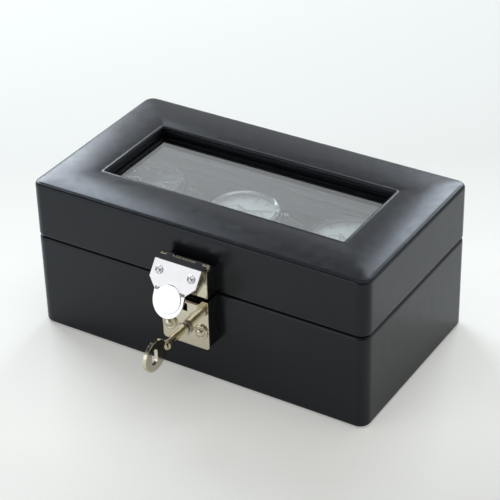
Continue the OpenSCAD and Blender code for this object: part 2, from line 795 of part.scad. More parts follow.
// The hasp's sprung coil: one unbroken wire round the pin, with a straight leg back over the block
module hasp_spring() {
    wire_r = 0.25;
    coil_r = hasp_pin_r + 0.15 + wire_r;
    turns = 6;
    per_turn = 8;
    pitch = (2 * flap_knuckle_x0 - 1.6) / turns;
    count = turns * per_turn;
    leg = [for (i = [2 : -1 : 1]) [-pitch * turns / 2, i * 0.9, -coil_r]];
    coil = [for (i = [0 : count]) let (a = -90 - i * 360 / per_turn)
        [-pitch * turns / 2 + pitch * i / per_turn, coil_r * cos(a), coil_r * sin(a)]];
    color([0.5, 0.5, 0.5]) translate([0, pin_y, pin_z]) wire_tube(concat(leg, coil), wire_r);
}

function unit(v) = v / norm(v);

// A six sided tube of radius r along a list of points
module wire_tube(path, r) {
    n = len(path);
    rings = [for (i = [0 : n - 1])
        let (
            ahead = unit(path[min(i + 1, n - 1)] - path[max(i - 1, 0)]),
            side = unit(cross(ahead, [0.3, 0.2, 0.93])),
            up = cross(side, ahead)
        )
        for (j = [0 : 5]) path[i] + r * (cos(j * 60) * side + sin(j * 60) * up)
    ];
    walls = [for (i = [0 : n - 2]) for (j = [0 : 5]) let (a = i * 6 + j, b = i * 6 + (j + 1) % 6) each
        [[a, a + 6, b], [b, a + 6, b + 6]]];
    first = [for (j = [1 : 4]) [0, j, j + 1]];
    last = [for (j = [1 : 4]) [(n - 1) * 6, (n - 1) * 6 + j + 1, (n - 1) * 6 + j]];
    polyhedron(points = rings, faces = concat(walls, first, last));
}

// The flap hangs open: a flange, a wide tilted leaf and a less tilted tongue, all of one bent sheet
module hasp_flap() {
    color([0.85, 0.85, 0.85]) difference() {
        union() {
            for (side = [-1, 1]) {
                translate([side * (flap_knuckle_x0 + flap_knuckle_l / 2), pin_y, pin_z]) rotate([0, 90, 0])
                    cylinder(r = hasp_barrel_r, h = flap_knuckle_l, center = true);
                translate([side * (flap_knuckle_x0 + flap_knuckle_l / 2) - flap_knuckle_l / 2,
                    fold_y + hasp_t, flange_z - hasp_t])
                    cube([flap_knuckle_l, pin_y - fold_y - hasp_t, hasp_t]);
            }
            intersection() {
                rotate([90, 0, 90]) linear_extrude(2 * hasp_half_w, center = true) flap_section();
                front_slab(pin_y, 2 * flap_reach) flap_outline();
            }
            tongue_frame() translate([0, tongue_l, 0]) cylinder(r = tongue_r - 1.6, h = hasp_t / 2 + 0.45);
        }
        hasp_pin_bore();
        leaf_frame() rivet_places() cylinder(r = rivet_shank_r + run_gap, h = 4, center = true);
    }
}

// The bent sheet seen from the side: flange, upper leaf and tongue, with mitred bends
module flap_section() {
    half_t = hasp_t / 2;
    flange_y = pin_y - hasp_barrel_r - side_gap - 0.2;
    tip_y = crease_y - flap_reach * sin(tongue_tilt);
    tip_z = crease_z - flap_reach * cos(tongue_tilt);
    fold = half_t * tan(45 - upper_tilt / 2);
    bend = (upper_tilt - tongue_tilt) / 2;
    mid = (upper_tilt + tongue_tilt) / 2;
    crease_out = [-half_t * cos(mid) / cos(bend), half_t * sin(mid) / cos(bend)];
    tip_out = [-half_t * cos(tongue_tilt), half_t * sin(tongue_tilt)];
    polygon([
        [flange_y, fold_z + half_t], [fold_y - fold, fold_z + half_t],
        [crease_y, crease_z] + crease_out, [tip_y, tip_z] + tip_out,
        [tip_y, tip_z] - tip_out, [crease_y, crease_z] - crease_out,
        [fold_y + fold, fold_z - half_t], [flange_y, fold_z - half_t]
    ]);
}

// The flap seen from the front: square above, drawn in at the shoulders, with a round tip
module flap_outline() {
    side_z = fold_z - (upper_leaf_l - 5) * cos(upper_tilt);
    tip_z = crease_z - tongue_l * cos(tongue_tilt);
    polygon([
        [-hasp_half_w, fold_z + hasp_t], [hasp_half_w, fold_z + hasp_t],
        [hasp_half_w, side_z], [tongue_r, crease_z], [tongue_r, tip_z],
        [-tongue_r, tip_z], [-tongue_r, crease_z], [-hasp_half_w, side_z]
    ]);
    translate([0, tip_z]) circle(tongue_r);
}

// The tilted frames of the flap's two leaves: x across, y down the leaf, z outwards
module leaf_frame() {
    translate([0, fold_y, fold_z]) rotate([-90 - upper_tilt, 0, 0]) mirror([0, 0, 1]) children();
}

module tongue_frame() {
    translate([0, crease_y, crease_z]) rotate([-90 - tongue_tilt, 0, 0]) mirror([0, 0, 1]) children();
}

module rivet_places() {
    for (sx = [-1, 1]) {
        translate([sx * rivet_x, rivet_drop, 0]) children();
    }
}

module hasp_rivets() {
    color([0.80, 0.80, 0.80]) leaf_frame() rivet_places() {
        translate([0, 0, -hasp_t / 2 - catch_t]) cylinder(r = rivet_shank_r, h = hasp_t + catch_t);
        translate([0, 0, hasp_t / 2]) rotate_extrude() {
            square([rivet_r, 0.35]);
            translate([rivet_r - 0.45, 0.35]) circle(0.35);
            translate([0, 0.35]) dome_profile(rivet_r - 1, 0.6);
        }
        translate([0, 0, -hasp_t / 2 - catch_t]) mirror([0, 0, 1]) rotate_extrude()
            dome_profile(rivet_shank_r + 0.5, 0.5);
    }
}

// The stiffener behind the flap, and its hook, which enters the catch slot when the hasp closes
module hasp_catch() {
    back = -hasp_t / 2 - catch_t;
    bend = (upper_tilt - tongue_tilt) / 2;
    short = (hasp_t / 2 + catch_t) * tan(bend);
    color([0.66, 0.64, 0.58]) difference() {
        union() {
            leaf_frame() translate([0, 0, back]) linear_extrude(catch_t) {
                translate([0, rivet_drop]) round_rect(2 * rivet_x + 5, 5, 1.5);
                translate([0, rivet_drop]) square_up(hook_w, upper_leaf_l - rivet_drop - short);
            }
            tongue_frame() {
                translate([0, short, back]) linear_extrude(catch_t)
                    square_up(hook_w, hook_down + hook_t / 2 - short);
                translate([0, 0, back + catch_t / 2]) rotate([0, 90, 0])
                    cylinder(r = catch_t / 2 - 0.06, h = hook_w, center = true);
            }
            hook_frame() translate([-hook_w / 2, -hook_t / 2, 0.1]) cube([hook_w, hook_t, hook_l - 0.1]);
        }
        hook_frame() translate([-hook_window_half_w, -hook_t, bolt_tongue_y - bolt_t - 0.5 - hook_root_y])
            cube([2 * hook_window_half_w, 2 * hook_t, bolt_t + 1]);
        leaf_frame() rivet_places() cylinder(r = rivet_shank_r + run_gap, h = 5, center = true);
    }
}

// The hook stands on the tongue, square to the plates when the hasp is closed
module hook_frame() {
    translate([0, pin_y, pin_z]) rotate([-hasp_close, 0, 0])
        translate([0, hook_root_y - pin_y, hook_z - pin_z]) rotate([-90, 0, 0]) children();
}

// Cushions and watches

// Section scale of a cushion at t, from -1 to 1 along its width: full in the middle, drawn in at the ends
function pillow_scale(t) = 1 - 0.08 * t * t - 0.24 * pow(abs(t), 7);

function oval_power(v) = sign(v) * pow(abs(v), 2 / pillow_power);

module cushion(i) {
    rings = 16;
    segs = 32;
    half = cushion_w / 2;
    pts = [for (r = [0 : rings]) let (t = sin(-90 + 180 * r / rings), s = pillow_scale(t))
        for (j = [0 : segs - 1]) let (a = 360 * (j + 0.5) / segs)
            [half * t, cushion_a * s * oval_power(cos(a)), cushion_b * s * oval_power(sin(a))]];
    ends = [[-half + 2.5, 0, 0], [half - 2.5, 0, 0]];
    base = (rings + 1) * segs;
    walls = [for (r = [0 : rings - 1]) for (j = [0 : segs - 1])
        let (a = r * segs + j, b = r * segs + (j + 1) % segs)
            each [[a, b, a + segs], [b, b + segs, a + segs]]];
    left = [for (j = [0 : segs - 1]) [base, (j + 1) % segs, j]];
    right = [for (j = [0 : segs - 1]) [base + 1, rings * segs + j, rings * segs + (j + 1) % segs]];
    color([0.30, 0.30, 0.31]) translate([watch_x(i), watch_y(), cushion_z])
        polyhedron(points = concat(pts, ends), faces = concat(walls, left, right));
}

// The cushion's middle section, grown outwards
module pillow_section(grow) {
    n = 72;
    polygon([for (j = [0 : n - 1]) let (a = 360 * (j + 0.5) / n)
        [(cushion_a + grow) * oval_power(cos(a)), (cushion_b + grow) * oval_power(sin(a))]]);
}

module strap(i) {
    color([0.12, 0.09, 0.08]) translate([watch_x(i), watch_y(), 0]) difference() {
        translate([0, 0, cushion_z]) rotate([90, 0, 90]) linear_extrude(strap_w, center = true) difference() {
            pillow_section(soft_gap + strap_t);
            pillow_section(soft_gap);
        }
        translate([0, 0, cushion_z]) cylinder(r = case_r[i] + 0.4, h = cushion_h);
        translate([-strap_w, -case_r[i] - 0.4, cushion_z])
            cube([2 * strap_w, 2 * case_r[i] + 0.8, cushion_h]);
    }
}

function lug_inner() = strap_w / 2 + side_gap;

module watch_case(i) {
    r = case_r[i];
    h = case_h;
    color([0.62, 0.62, 0.60]) translate([watch_x(i), watch_y(), case_z0]) difference() {
        union() {
            rotate_extrude()
                polygon([[0, 0], [r - 3.2, 0], [r - 0.9, 1.4], [r, 2.8], [r, h - 1], [r - 0.8, h], [0, h]]);
            for (sx = [-1, 1]) {
                for (end = [0, 180]) {
                    rotate(end) translate([sx * (lug_inner() + 1.3), 0, 0]) rotate([90, 0, 90])
                        linear_extrude(2.6, center = true) {
                            lug_y = r + 1.6;
                            translate([lug_y, 2.1]) circle(1.6);
                            polygon([
                                [r - 6, h - 1.6], [r - 6, 2], [lug_y - 1.2, 0.9], [lug_y + 1, 3.3],
                                [r - 2.5, h - 1.6]
                            ]);
                        }
                }
            }
        }
        translate([0, 0, dial_z0 - case_z0]) cylinder(r = r - bezel_w + 1, h = h);
        button_places(i) rotate([0, 90, 0]) cylinder(r = crown_stem_r + run_gap, h = 8, center = true);
    }
}

module bezel(i) {
    r = case_r[i];
    color([0.30, 0.30, 0.31]) translate([watch_x(i), watch_y(), case_z1]) rotate_extrude() polygon([
        [r - bezel_w, 0], [r - 0.9, 0], [r - 0.9, 0.6], [r - 1.4, bezel_h - 0.5], [r - 1.9, bezel_h],
        [r - bezel_w + 0.9, bezel_h], [r - bezel_w, bezel_h - 0.7]
    ]);
}

module dial(i) {
    r = case_r[i] - bezel_w + 1 - fit_gap / 2;
    marker_r = r - 3.2;
    color(i == 0 ? [0.10, 0.10, 0.11] : [0.80, 0.80, 0.77]) translate([watch_x(i), watch_y(), dial_z0]) {
        cylinder(r = r, h = dial_t);
        for (hour = [0 : 11]) {
            rotate(hour * 30) translate([-0.35, marker_r - 2.2, 0]) cube([0.7, 2.2, dial_t + 0.3]);
        }
    }
}

module hands(i) {
    r = case_r[i];
    color([0.80, 0.80, 0.78]) translate([watch_x(i), watch_y(), dial_z0 + dial_t + 0.5]) {
        translate([0, 0, -0.5]) cylinder(r = 0.9, h = 1.3);
        rotate(60) linear_extrude(0.3) hand_outline(0.7, 2, r * 0.42);
        rotate(-62) linear_extrude(0.3) hand_outline(0.5, 2.5, r * 0.62);
    }
}

// A hand that points up the page: a straight blade with a pointed tip and a short tail
module hand_outline(half_w, tail, reach) {
    shoulder = reach - 4 * half_w;
    polygon([[-half_w, -tail], [half_w, -tail], [half_w, shoulder], [0, reach], [-half_w, shoulder]]);
}

module crystal(i) {
    seat = case_r[i] - bezel_w - fit_gap / 2;
    z0 = bezel_h - 0.7 - 1;
    color([0.70, 0.75, 0.78, 0.35]) translate([watch_x(i), watch_y(), case_z1 + z0]) {
        cylinder(r = seat, h = 1);
        translate([0, 0, 1]) rotate_extrude() dome_profile(seat, 0.6);
    }
}

// The crown at three o'clock, and the two pushers on either side of it
module button_places(i) {
    for (a = i == 0 ? [0] : [-32, 0, 32]) {
        rotate(a) translate([case_r[i], 0, case_h / 2 + 0.4]) children();
    }
}

module crown(i) {
    color([0.65, 0.65, 0.63]) translate([watch_x(i), watch_y(), case_z0])
    button_places(i) rotate([0, 90, 0]) {
        translate([0, 0, -crown_l]) cylinder(r = crown_stem_r, h = crown_l + 1);
        translate([0, 0, 0.4]) cylinder(r = crown_r, h = crown_l - 0.4);
        translate([0, 0, crown_l]) cylinder(r = crown_r - 0.4, h = 0.4);
    }
}

base_shell();
base_felt();
base_lining();
divider(-1);  // divider_left
divider(1);  // divider_right
lower_leaf(-1);  // hinge_leaf_lower_left
lower_leaf(1);  // hinge_leaf_lower_right
hinge_pin(-1);  // hinge_pin_left
hinge_pin(1);  // hinge_pin_right
hinge_screws(-1);  // hinge_screws_lower
lock_body();
lock_face_plate();
catch_housing();
lock_screws();
lock_plug();
lock_cam();
lock_bolt();
key();
lid_shell();
lid_pad();
window_frame();
glass_pane();
lid_lining();
upper_leaf(-1);  // hinge_leaf_upper_left
upper_leaf(1);  // hinge_leaf_upper_right
hinge_screws(1);  // hinge_screws_upper
hasp_block();
hasp_base_plate();
hasp_block_screws();
hasp_pin();
hasp_spring();
hasp_flap();
hasp_catch();
hasp_rivets();
cushion(0);  // cushion_left
cushion(1);  // cushion_middle
cushion(2);  // cushion_right
strap(0);  // strap_left
strap(1);  // strap_middle
strap(2);  // strap_right
watch_case(0);  // watch_case_left
watch_case(1);  // watch_case_middle
watch_case(2);  // watch_case_right
bezel(0);  // bezel_left
bezel(1);  // bezel_middle
bezel(2);  // bezel_right
dial(0);  // dial_left
dial(1);  // dial_middle
dial(2);  // dial_right
hands(0);  // hands_left
hands(1);  // hands_middle
hands(2);  // hands_right
crystal(0);  // crystal_left
crystal(1);  // crystal_middle
crystal(2);  // crystal_right
crown(0);  // crown_left
crown(1);  // crown_middle
crown(2);  // crown_right
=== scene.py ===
"""Looks of the watch display box: leather shells, a padded lid top, velvet cushions with their
watches, and a nickel lock with a chrome hasp.

Everything is in metres in the part's own frame: X to the right, Y to the back, Z up.
"""

import json
import math

import bpy
import numpy as np
from mathutils import Matrix, Vector, noise

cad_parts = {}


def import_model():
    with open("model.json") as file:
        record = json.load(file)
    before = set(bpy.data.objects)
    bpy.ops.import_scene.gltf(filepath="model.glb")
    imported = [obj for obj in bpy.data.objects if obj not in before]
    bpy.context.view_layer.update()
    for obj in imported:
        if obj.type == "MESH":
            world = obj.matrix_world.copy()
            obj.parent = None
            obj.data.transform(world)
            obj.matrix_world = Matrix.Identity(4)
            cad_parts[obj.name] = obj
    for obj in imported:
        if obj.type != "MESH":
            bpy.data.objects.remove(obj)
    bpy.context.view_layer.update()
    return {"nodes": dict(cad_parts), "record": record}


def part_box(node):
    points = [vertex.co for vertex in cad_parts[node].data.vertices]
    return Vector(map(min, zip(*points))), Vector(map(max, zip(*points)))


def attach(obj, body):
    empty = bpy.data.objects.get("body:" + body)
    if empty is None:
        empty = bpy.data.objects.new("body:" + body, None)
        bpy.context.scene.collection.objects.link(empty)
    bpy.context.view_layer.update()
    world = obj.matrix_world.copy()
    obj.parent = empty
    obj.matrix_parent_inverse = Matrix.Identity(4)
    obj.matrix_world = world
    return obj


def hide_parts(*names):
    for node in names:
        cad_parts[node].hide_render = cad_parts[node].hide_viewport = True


MM = 0.001
SIDES = ("left", "middle", "right")

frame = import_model()


# Node trees


class Graph:
    """A node tree, with short calls for the nodes that it needs."""

    def __init__(self, tree, coordinates):
        self.tree = tree
        self.place = self.node("ShaderNodeTexCoord").outputs[coordinates]

    def node(self, kind, **settings):
        made = self.tree.nodes.new(kind)
        for key, value in settings.items():
            setattr(made, key, value)
        return made

    def link(self, source, target):
        self.tree.links.new(source, target)

    def fill(self, socket, value):
        """A number or colour is set on the socket, and an output is linked to it."""
        if isinstance(value, bpy.types.NodeSocket):
            self.link(value, socket)
        else:
            socket.default_value = value

    def math(self, operation, first, second):
        """Two numbers or outputs, joined by that operation."""
        made = self.node("ShaderNodeMath", operation=operation)
        self.fill(made.inputs[0], first)
        self.fill(made.inputs[1], second)
        return made.outputs["Value"]

    def along(self, direction):
        """How far the shaded place, or the direction looked in, lies along a direction."""
        made = self.node("ShaderNodeVectorMath", operation="DOT_PRODUCT")
        made.inputs[1].default_value = direction
        self.link(self.place, made.inputs[0])
        return made.outputs["Value"]

    def span(self, source, low, high, start=0.3, end=0.7, easing="LINEAR"):
        """The source, stretched from start..end to low..high."""
        made = self.node("ShaderNodeMapRange", interpolation_type=easing)
        values = {"From Min": start, "From Max": end, "To Min": low, "To Max": high}
        for socket, value in values.items():
            made.inputs[socket].default_value = value
        self.link(source, made.inputs["Value"])
        return made.outputs["Result"]


class Shader(Graph):
    """A material under construction, round one Principled shader."""

    def __init__(self, name, colour, **values):
        self.material = bpy.data.materials.new(name)
        self.material.use_nodes = True
        super().__init__(self.material.node_tree, "Object")
        self.bsdf = self.tree.nodes["Principled BSDF"]
        self.set("Base Color", (*colour, 1.0))
        for key, value in values.items():
            self.set(key.replace("_", " "), value)

    def set(self, socket, value):
        self.fill(self.bsdf.inputs[socket], value)

    def noise(self, size, detail=3.0, stretch=(1, 1, 1)):
        """Noise from 0 to 1 with features of about that size, in metres."""
        mapping = self.node("ShaderNodeMapping")
        mapping.inputs["Scale"].default_value = stretch
        self.link(self.place, mapping.inputs["Vector"])
        made = self.node("ShaderNodeTexNoise")
        made.inputs["Scale"].default_value = 1 / size
        made.inputs["Detail"].default_value = detail
        self.link(mapping.outputs["Vector"], made.inputs["Vector"])
        return made.outputs["Fac"]

    def cells(self, size):
        """Rounded cells of about that size, from 0 at their middles upwards."""
        made = self.node("ShaderNodeTexVoronoi", feature="SMOOTH_F1")
        made.inputs["Scale"].default_value = 1 / size
        made.inputs["Smoothness"].default_value = 0.6
        self.link(self.place, made.inputs["Vector"])
        return made.outputs["Distance"]

    def mix(self, source, first, second):
        """A colour between first and second, by the source from 0 to 1."""
        made = self.node("ShaderNodeMix", data_type="RGBA")
        colours = {"A": (*first, 1.0), "B": (*second, 1.0)}
        for socket in made.inputs:
            if socket.type == "RGBA" and socket.name in colours:
                socket.default_value = colours[socket.name]
        self.link(source, made.inputs["Factor"])
        return next(output for output in made.outputs if output.type == "RGBA")

    def blend(self, share, first, second):
        """A share of the second shader over the first."""
        made = self.node("ShaderNodeMixShader")
        self.link(share, made.inputs["Fac"])
        self.link(first, made.inputs[1])
        self.link(second, made.inputs[2])
        return made.outputs["Shader"]

    def bump(self, height, depth, strength, onto=None):
        """Adds relief of that depth in metres to the surface, over an earlier relief if given."""
        made = self.node("ShaderNodeBump")
        made.inputs["Strength"].default_value = strength
        made.inputs["Distance"].default_value = depth
        self.link(height, made.inputs["Height"])
        if onto is not None:
            self.link(onto, made.inputs["Normal"])
        self.set("Normal", made.outputs["Normal"])
        return made.outputs["Normal"]

    def rounded(self, radius):
        """Edges that catch the light as if they were rounded to that radius."""
        made = self.node("ShaderNodeBevel", samples=6)
        made.inputs["Radius"].default_value = radius
        return made.outputs["Normal"]


# Materials


def leather(name, dark, light, grain, roughness, depth, gloss=0.4):
    """Soft leather with a slow swell, pores and a grain of that size and depth."""
    shader = Shader(name, dark, Specular_IOR_Level=gloss)
    shader.set("Specular Tint", (0.86, 0.93, 1.0, 1.0))
    shader.set("Base Color", shader.mix(shader.noise(14 * MM), dark, light))
    shader.set("Roughness", shader.span(shader.noise(5 * MM), *roughness))
    swell = shader.bump(shader.noise(34 * MM, 1.0), 0.7 * MM, 0.2)
    pores = shader.bump(shader.noise(grain * 0.45, 2.0), depth * 0.5, 0.5, swell)
    shader.bump(shader.cells(grain), depth, 0.7, pores)
    return shader.material


def cloth(name, dark, light, pile, sheen):
    """Velvet or felt with a pile of that size."""
    shader = Shader(name, dark, Roughness=0.9, Sheen_Weight=sheen, Sheen_Roughness=0.35)
    shader.set("Specular IOR Level", 0.2)
    shader.set("Base Color", shader.mix(shader.noise(7 * MM, 5.0), dark, light))
    shader.bump(shader.noise(pile, 4.0), pile * 0.5, 0.6)
    return shader.material


def metal(name, colour, roughness, edge=0.25 * MM, brushed=None):
    """Polished metal with faint smudges, or brushed along one axis where brushed is given."""
    shader = Shader(name, colour, Metallic=1.0)
    if brushed is None:
        smudges = shader.noise(3 * MM, 4.0)
        relief = (shader.noise(9 * MM, 1.0), 0.12 * MM, 0.35)
    else:
        smudges = shader.noise(0.5 * MM, 4.0, brushed)
        relief = (smudges, 0.02 * MM, 0.4)
    shader.set("Roughness", shader.span(smudges, *roughness))
    tint = tuple(0.9 * c for c in colour)
    shader.set("Base Color", shader.mix(shader.noise(6 * MM), colour, tint))
    shader.bump(*relief, shader.rounded(edge))
    return shader.material


def enamel(name, colour, roughness):
    """Sprayed enamel with softened edges and a faint unevenness."""
    shader = Shader(name, colour, Coat_Weight=0.3, Coat_Roughness=0.15)
    shader.set("Roughness", shader.span(shader.noise(2 * MM), *roughness))
    shader.bump(shader.noise(3 * MM), 0.03 * MM, 0.15, shader.rounded(0.3 * MM))
    return shader.material


def clear_glass(name, tint, film):
    """Glass that shadow rays pass straight through; film is its extra share of mirror, low to high."""
    shader = Shader(name, tint, Roughness=0.0, IOR=1.5, Transmission_Weight=1.0)
    mirror = shader.node("ShaderNodeBsdfGlossy")
    mirror.inputs["Color"].default_value = (0.94, 0.98, 1.0, 1.0)
    mirror.inputs["Roughness"].default_value = 0.05
    streaks = shader.span(shader.noise(1.6 * MM, 1.0, (0.015, 1, 1)), *film, 0.35, 0.75)
    filmed = shader.blend(streaks, shader.bsdf.outputs["BSDF"], mirror.outputs["BSDF"])
    through = shader.node("ShaderNodeBsdfTransparent")
    through.inputs["Color"].default_value = (*tint, 1.0)
    shadow = shader.node("ShaderNodeLightPath").outputs["Is Shadow Ray"]
    surface = shader.blend(shadow, filmed, through.outputs["BSDF"])
    shader.link(surface, shader.tree.nodes["Material Output"].inputs["Surface"])
    return shader.material


MATERIALS = {
    "leather_cover": leather(
        "leather_cover",
        dark=(0.0055, 0.006, 0.0085),
        light=(0.010, 0.0105, 0.0135),
        grain=0.55 * MM,
        roughness=(0.20, 0.27),
        depth=0.012 * MM,
    ),
    # A darker, less glossy copy of the cover leather for the window's sides: painted shade in the
    # recess
    "leather_painted_shade": leather(
        "leather_painted_shade",
        dark=(0.003, 0.0035, 0.006),
        light=(0.006, 0.0065, 0.010),
        grain=0.55 * MM,
        roughness=(0.35, 0.45),
        depth=0.025 * MM,
        gloss=0.15,
    ),
    "base_felt": cloth(
        "base_felt",
        dark=(0.010, 0.010, 0.011),
        light=(0.022, 0.022, 0.024),
        pile=0.5 * MM,
        sheen=0.2,
    ),
    "velvet_lining": cloth(
        "velvet_lining",
        dark=(0.012, 0.012, 0.014),
        light=(0.022, 0.022, 0.025),
        pile=0.35 * MM,
        sheen=0.35,
    ),
    "hinge_metal": metal("hinge_metal", (0.60, 0.58, 0.53), (0.22, 0.36), brushed=(0.06, 1, 1)),
    "lock_black": enamel("lock_black", (0.010, 0.010, 0.010), (0.26, 0.34)),
    "nickel": metal("nickel", (0.80, 0.74, 0.58), (0.05, 0.12)),
    "chrome": metal("chrome", (0.90, 0.90, 0.92), (0.035, 0.08), 0.35 * MM),
    "lock_works": metal("lock_works", (0.52, 0.50, 0.45), (0.25, 0.40), brushed=(1, 1, 0.08)),
    "glass": clear_glass("glass", (0.93, 0.96, 0.96), film=(0.22, 0.28)),
    "cushion_velvet": cloth(
        "cushion_velvet",
        dark=(0.085, 0.085, 0.09),
        light=(0.13, 0.13, 0.135),
        pile=0.4 * MM,
        sheen=0.5,
    ),
    "strap_leather": leather(
        "strap_leather",
        dark=(0.012, 0.010, 0.009),
        light=(0.026, 0.021, 0.018),
        grain=0.9 * MM,
        roughness=(0.38, 0.52),
        depth=0.06 * MM,
    ),
    "watch_steel": metal("watch_steel", (0.66, 0.66, 0.65), (0.16, 0.26), brushed=(1, 1, 0.1)),
    "bezel_dark": enamel("bezel_dark", (0.016, 0.016, 0.018), (0.32, 0.42)),
    "bezel_steel": metal("bezel_steel", (0.72, 0.72, 0.71), (0.08, 0.16)),
    "dial_dark": enamel("dial_dark", (0.012, 0.012, 0.014), (0.3, 0.42)),
    "dial_silver": enamel("dial_silver", (0.72, 0.72, 0.70), (0.3, 0.42)),
    "hand_steel": metal("hand_steel", (0.85, 0.85, 0.84), (0.1, 0.2), 0.1 * MM),
    "crystal": clear_glass("crystal", (0.97, 0.98, 0.98), film=(0.0, 0.01)),
}

for subpart in frame["record"]["subparts"]:
    for place in frame["nodes"][subpart["node"]].material_slots:
        place.link = "OBJECT"
        place.material = MATERIALS[subpart["material_slot"]]


# Mesh helpers

TUBE_REFERENCE = Vector((0.31, 0.17, 0.94))  # A direction that no tube's line follows
LOOP_SIDE_STEPS = 60
LOOP_CORNER_STEPS = 8


class Pile:
    """Points and faces of one piece, gathered from closed shapes."""

    def __init__(self):
        self.points, self.faces = [], []

    def add(self, points, faces, matrix=None):
        """Adds one shape, moved by the matrix where one is given."""
        first = len(self.points)
        matrix = matrix or Matrix.Identity(4)
        self.points += [matrix @ Vector(p) for p in points]
        self.faces += [[first + i for i in face] for face in faces]

    def loops(self, rings, closed=False, matrix=None):
        """Skins a list of rings, which all have the same number of points, and caps open ends."""
        count, size = len(rings), len(rings[0])
        faces = [
            [a * size + j, a * size + (j + 1) % size, b * size + (j + 1) % size, b * size + j]
            for a, b in [(i, (i + 1) % count) for i in range(count if closed else count - 1)]
            for j in range(size)
        ]
        if not closed:
            faces += [list(range(size))[::-1], [(count - 1) * size + j for j in range(size)]]
        self.add([p for ring in rings for p in ring], faces, matrix)

    def ring(self, inner, outer, low, high, matrix, steps):
        """A flat ring about the Z axis."""
        turns = [2 * math.pi * i / steps for i in range(steps)]
        section = [(inner, low), (outer, low), (outer, high), (inner, high)]
        rings = [[(r * math.cos(t), r * math.sin(t), z) for r, z in section] for t in turns]
        self.loops(rings, closed=True, matrix=matrix)

    def bar(self, half_w, y0, y1, z0, z1, matrix):
        """A straight bar along Y, as wide to both sides of the Y axis."""
        corners = [(-half_w, y0), (half_w, y0), (half_w, y1), (-half_w, y1)]
        self.loops([level_ring(corners, z) for z in (z0, z1)], matrix=matrix)

    def piece(self, name, material, body, smooth=True):
        """The gathered shapes as one object in that material, on a body."""
        mesh = bpy.data.meshes.new(name)
        mesh.from_pydata([tuple(p) for p in self.points], [], self.faces)
        mesh.materials.append(MATERIALS[material])
        mesh.polygons.foreach_set("use_smooth", [smooth] * len(mesh.polygons))
        mesh.update()
        made = bpy.data.objects.new(name, mesh)
        bpy.context.scene.collection.objects.link(made)
        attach(made, body)
        return made


def level_ring(points, z):
    """Flat points, lifted to one height."""
    return [(x, y, z) for x, y in points]


def sweep(path, section, across):
    """Rings of a section moved along a path; the section's x lies along across, its y outwards."""
    path = np.asarray(path, float)
    ahead = np.gradient(path, axis=0)
    ahead /= np.linalg.norm(ahead, axis=1)[:, None]
    across = np.asarray(across, float)
    out = np.cross(ahead, across)
    return [[tuple(p + x * across + y * o) for x, y in section] for p, o in zip(path, out)]


def tube(path, radius, steps=10, closed=False):
    """Rings of a round tube along a path."""
    path = np.asarray(path, float)
    if closed:
        ahead = np.roll(path, -1, axis=0) - np.roll(path, 1, axis=0)
    else:
        ahead = np.gradient(path, axis=0)
    turns = [2 * math.pi * j / steps for j in range(steps)]
    rings = []
    for p, a in zip(path, ahead):
        a = Vector(a).normalized()
        side = a.cross(TUBE_REFERENCE).normalized()
        up = side.cross(a)
        rings.append(
            [Vector(p) + radius * (math.cos(t) * side + math.sin(t) * up) for t in turns]
        )
    return rings


def rough(point, size, amount):
    """A smooth random offset of up to that amount at a point."""
    return amount * noise.noise(Vector(point) / size)


def rounded_loop(half_x, half_y, radius):
    """Points round a rectangle with round corners, in step with any other such loop."""
    points = []
    for quarter, (sx, sy) in enumerate([(1, 1), (-1, 1), (-1, -1), (1, -1)]):
        centre = Vector((sx * (half_x - radius), sy * (half_y - radius)))
        for i in range(LOOP_CORNER_STEPS + 1):
            turn = math.pi / 2 * (quarter + i / LOOP_CORNER_STEPS)
            points.append(centre + radius * Vector((math.cos(turn), math.sin(turn))))
    loop = []
    for i, point in enumerate(points):
        loop.append(point)
        if i % (LOOP_CORNER_STEPS + 1) == LOOP_CORNER_STEPS:
            after = points[(i + 1) % len(points)]
            loop += [point.lerp(after, k / LOOP_SIDE_STEPS) for k in range(1, LOOP_SIDE_STEPS)]
    return loop


# Padded top of the lid

FRAME_T = 2.4 * MM  # From the outside of the CAD frame's bead to the window's opening
OPENING_R = 0.6 * MM  # Corners of the opening
SIDES_T = 1.5 * MM  # Leather on the sides of the window
SIDES_DROP = 1.9 * MM  # From the top of the lid down to the underside of the padding's roll
SIDES_GAP = 0.15 * MM  # How far that leather stands back under the padding's roll
SIDES_LAP = 0.05 * MM  # How far it reaches up into that roll

PAD_ROWS = 44
PAD_LOWER = 0.1 * MM  # From the top of the lid down to the padding's crest
RIM_SHOWN = 1.7 * MM  # Width of the lid's rim outside the padding
PAD_CORNER_R = 4.2 * MM
SEAT_CORNER_R = 2.4 * MM  # Corners of the recess that the padding sits in
CREST = 0.38  # Where the padding is highest, from the window at 0 to the rim at 1
INNER_FALL = 0.50 * MM
OUTER_FALL = 0.85 * MM
ROLL_R = 0.8 * MM  # The padding's roll into the window
WELT_H = 0.22 * MM  # The low welt above that roll
WELT_W = 0.7 * MM
EDGE_R = 1.0 * MM  # The padding's round edge on the rim
EDGE_SINK = 0.05 * MM  # From the top of the rim down to the foot of that edge
SEAT_DROP = 0.1 * MM  # From there down to the recess's own edge
CORNER_BLEND = 0.5 * MM  # Over which the outer edges blend at a corner
DENT_SIZE = 24 * MM
DENT_DEPTH = 0.05 * MM
DENT_SEED = 0.3


def quarter_round(distance, radius):
    """From 0 at a round edge up to 1 at its radius, along a quarter circle."""
    return math.sqrt(max(1 - max(1 - distance / radius, 0) ** 2, 0))


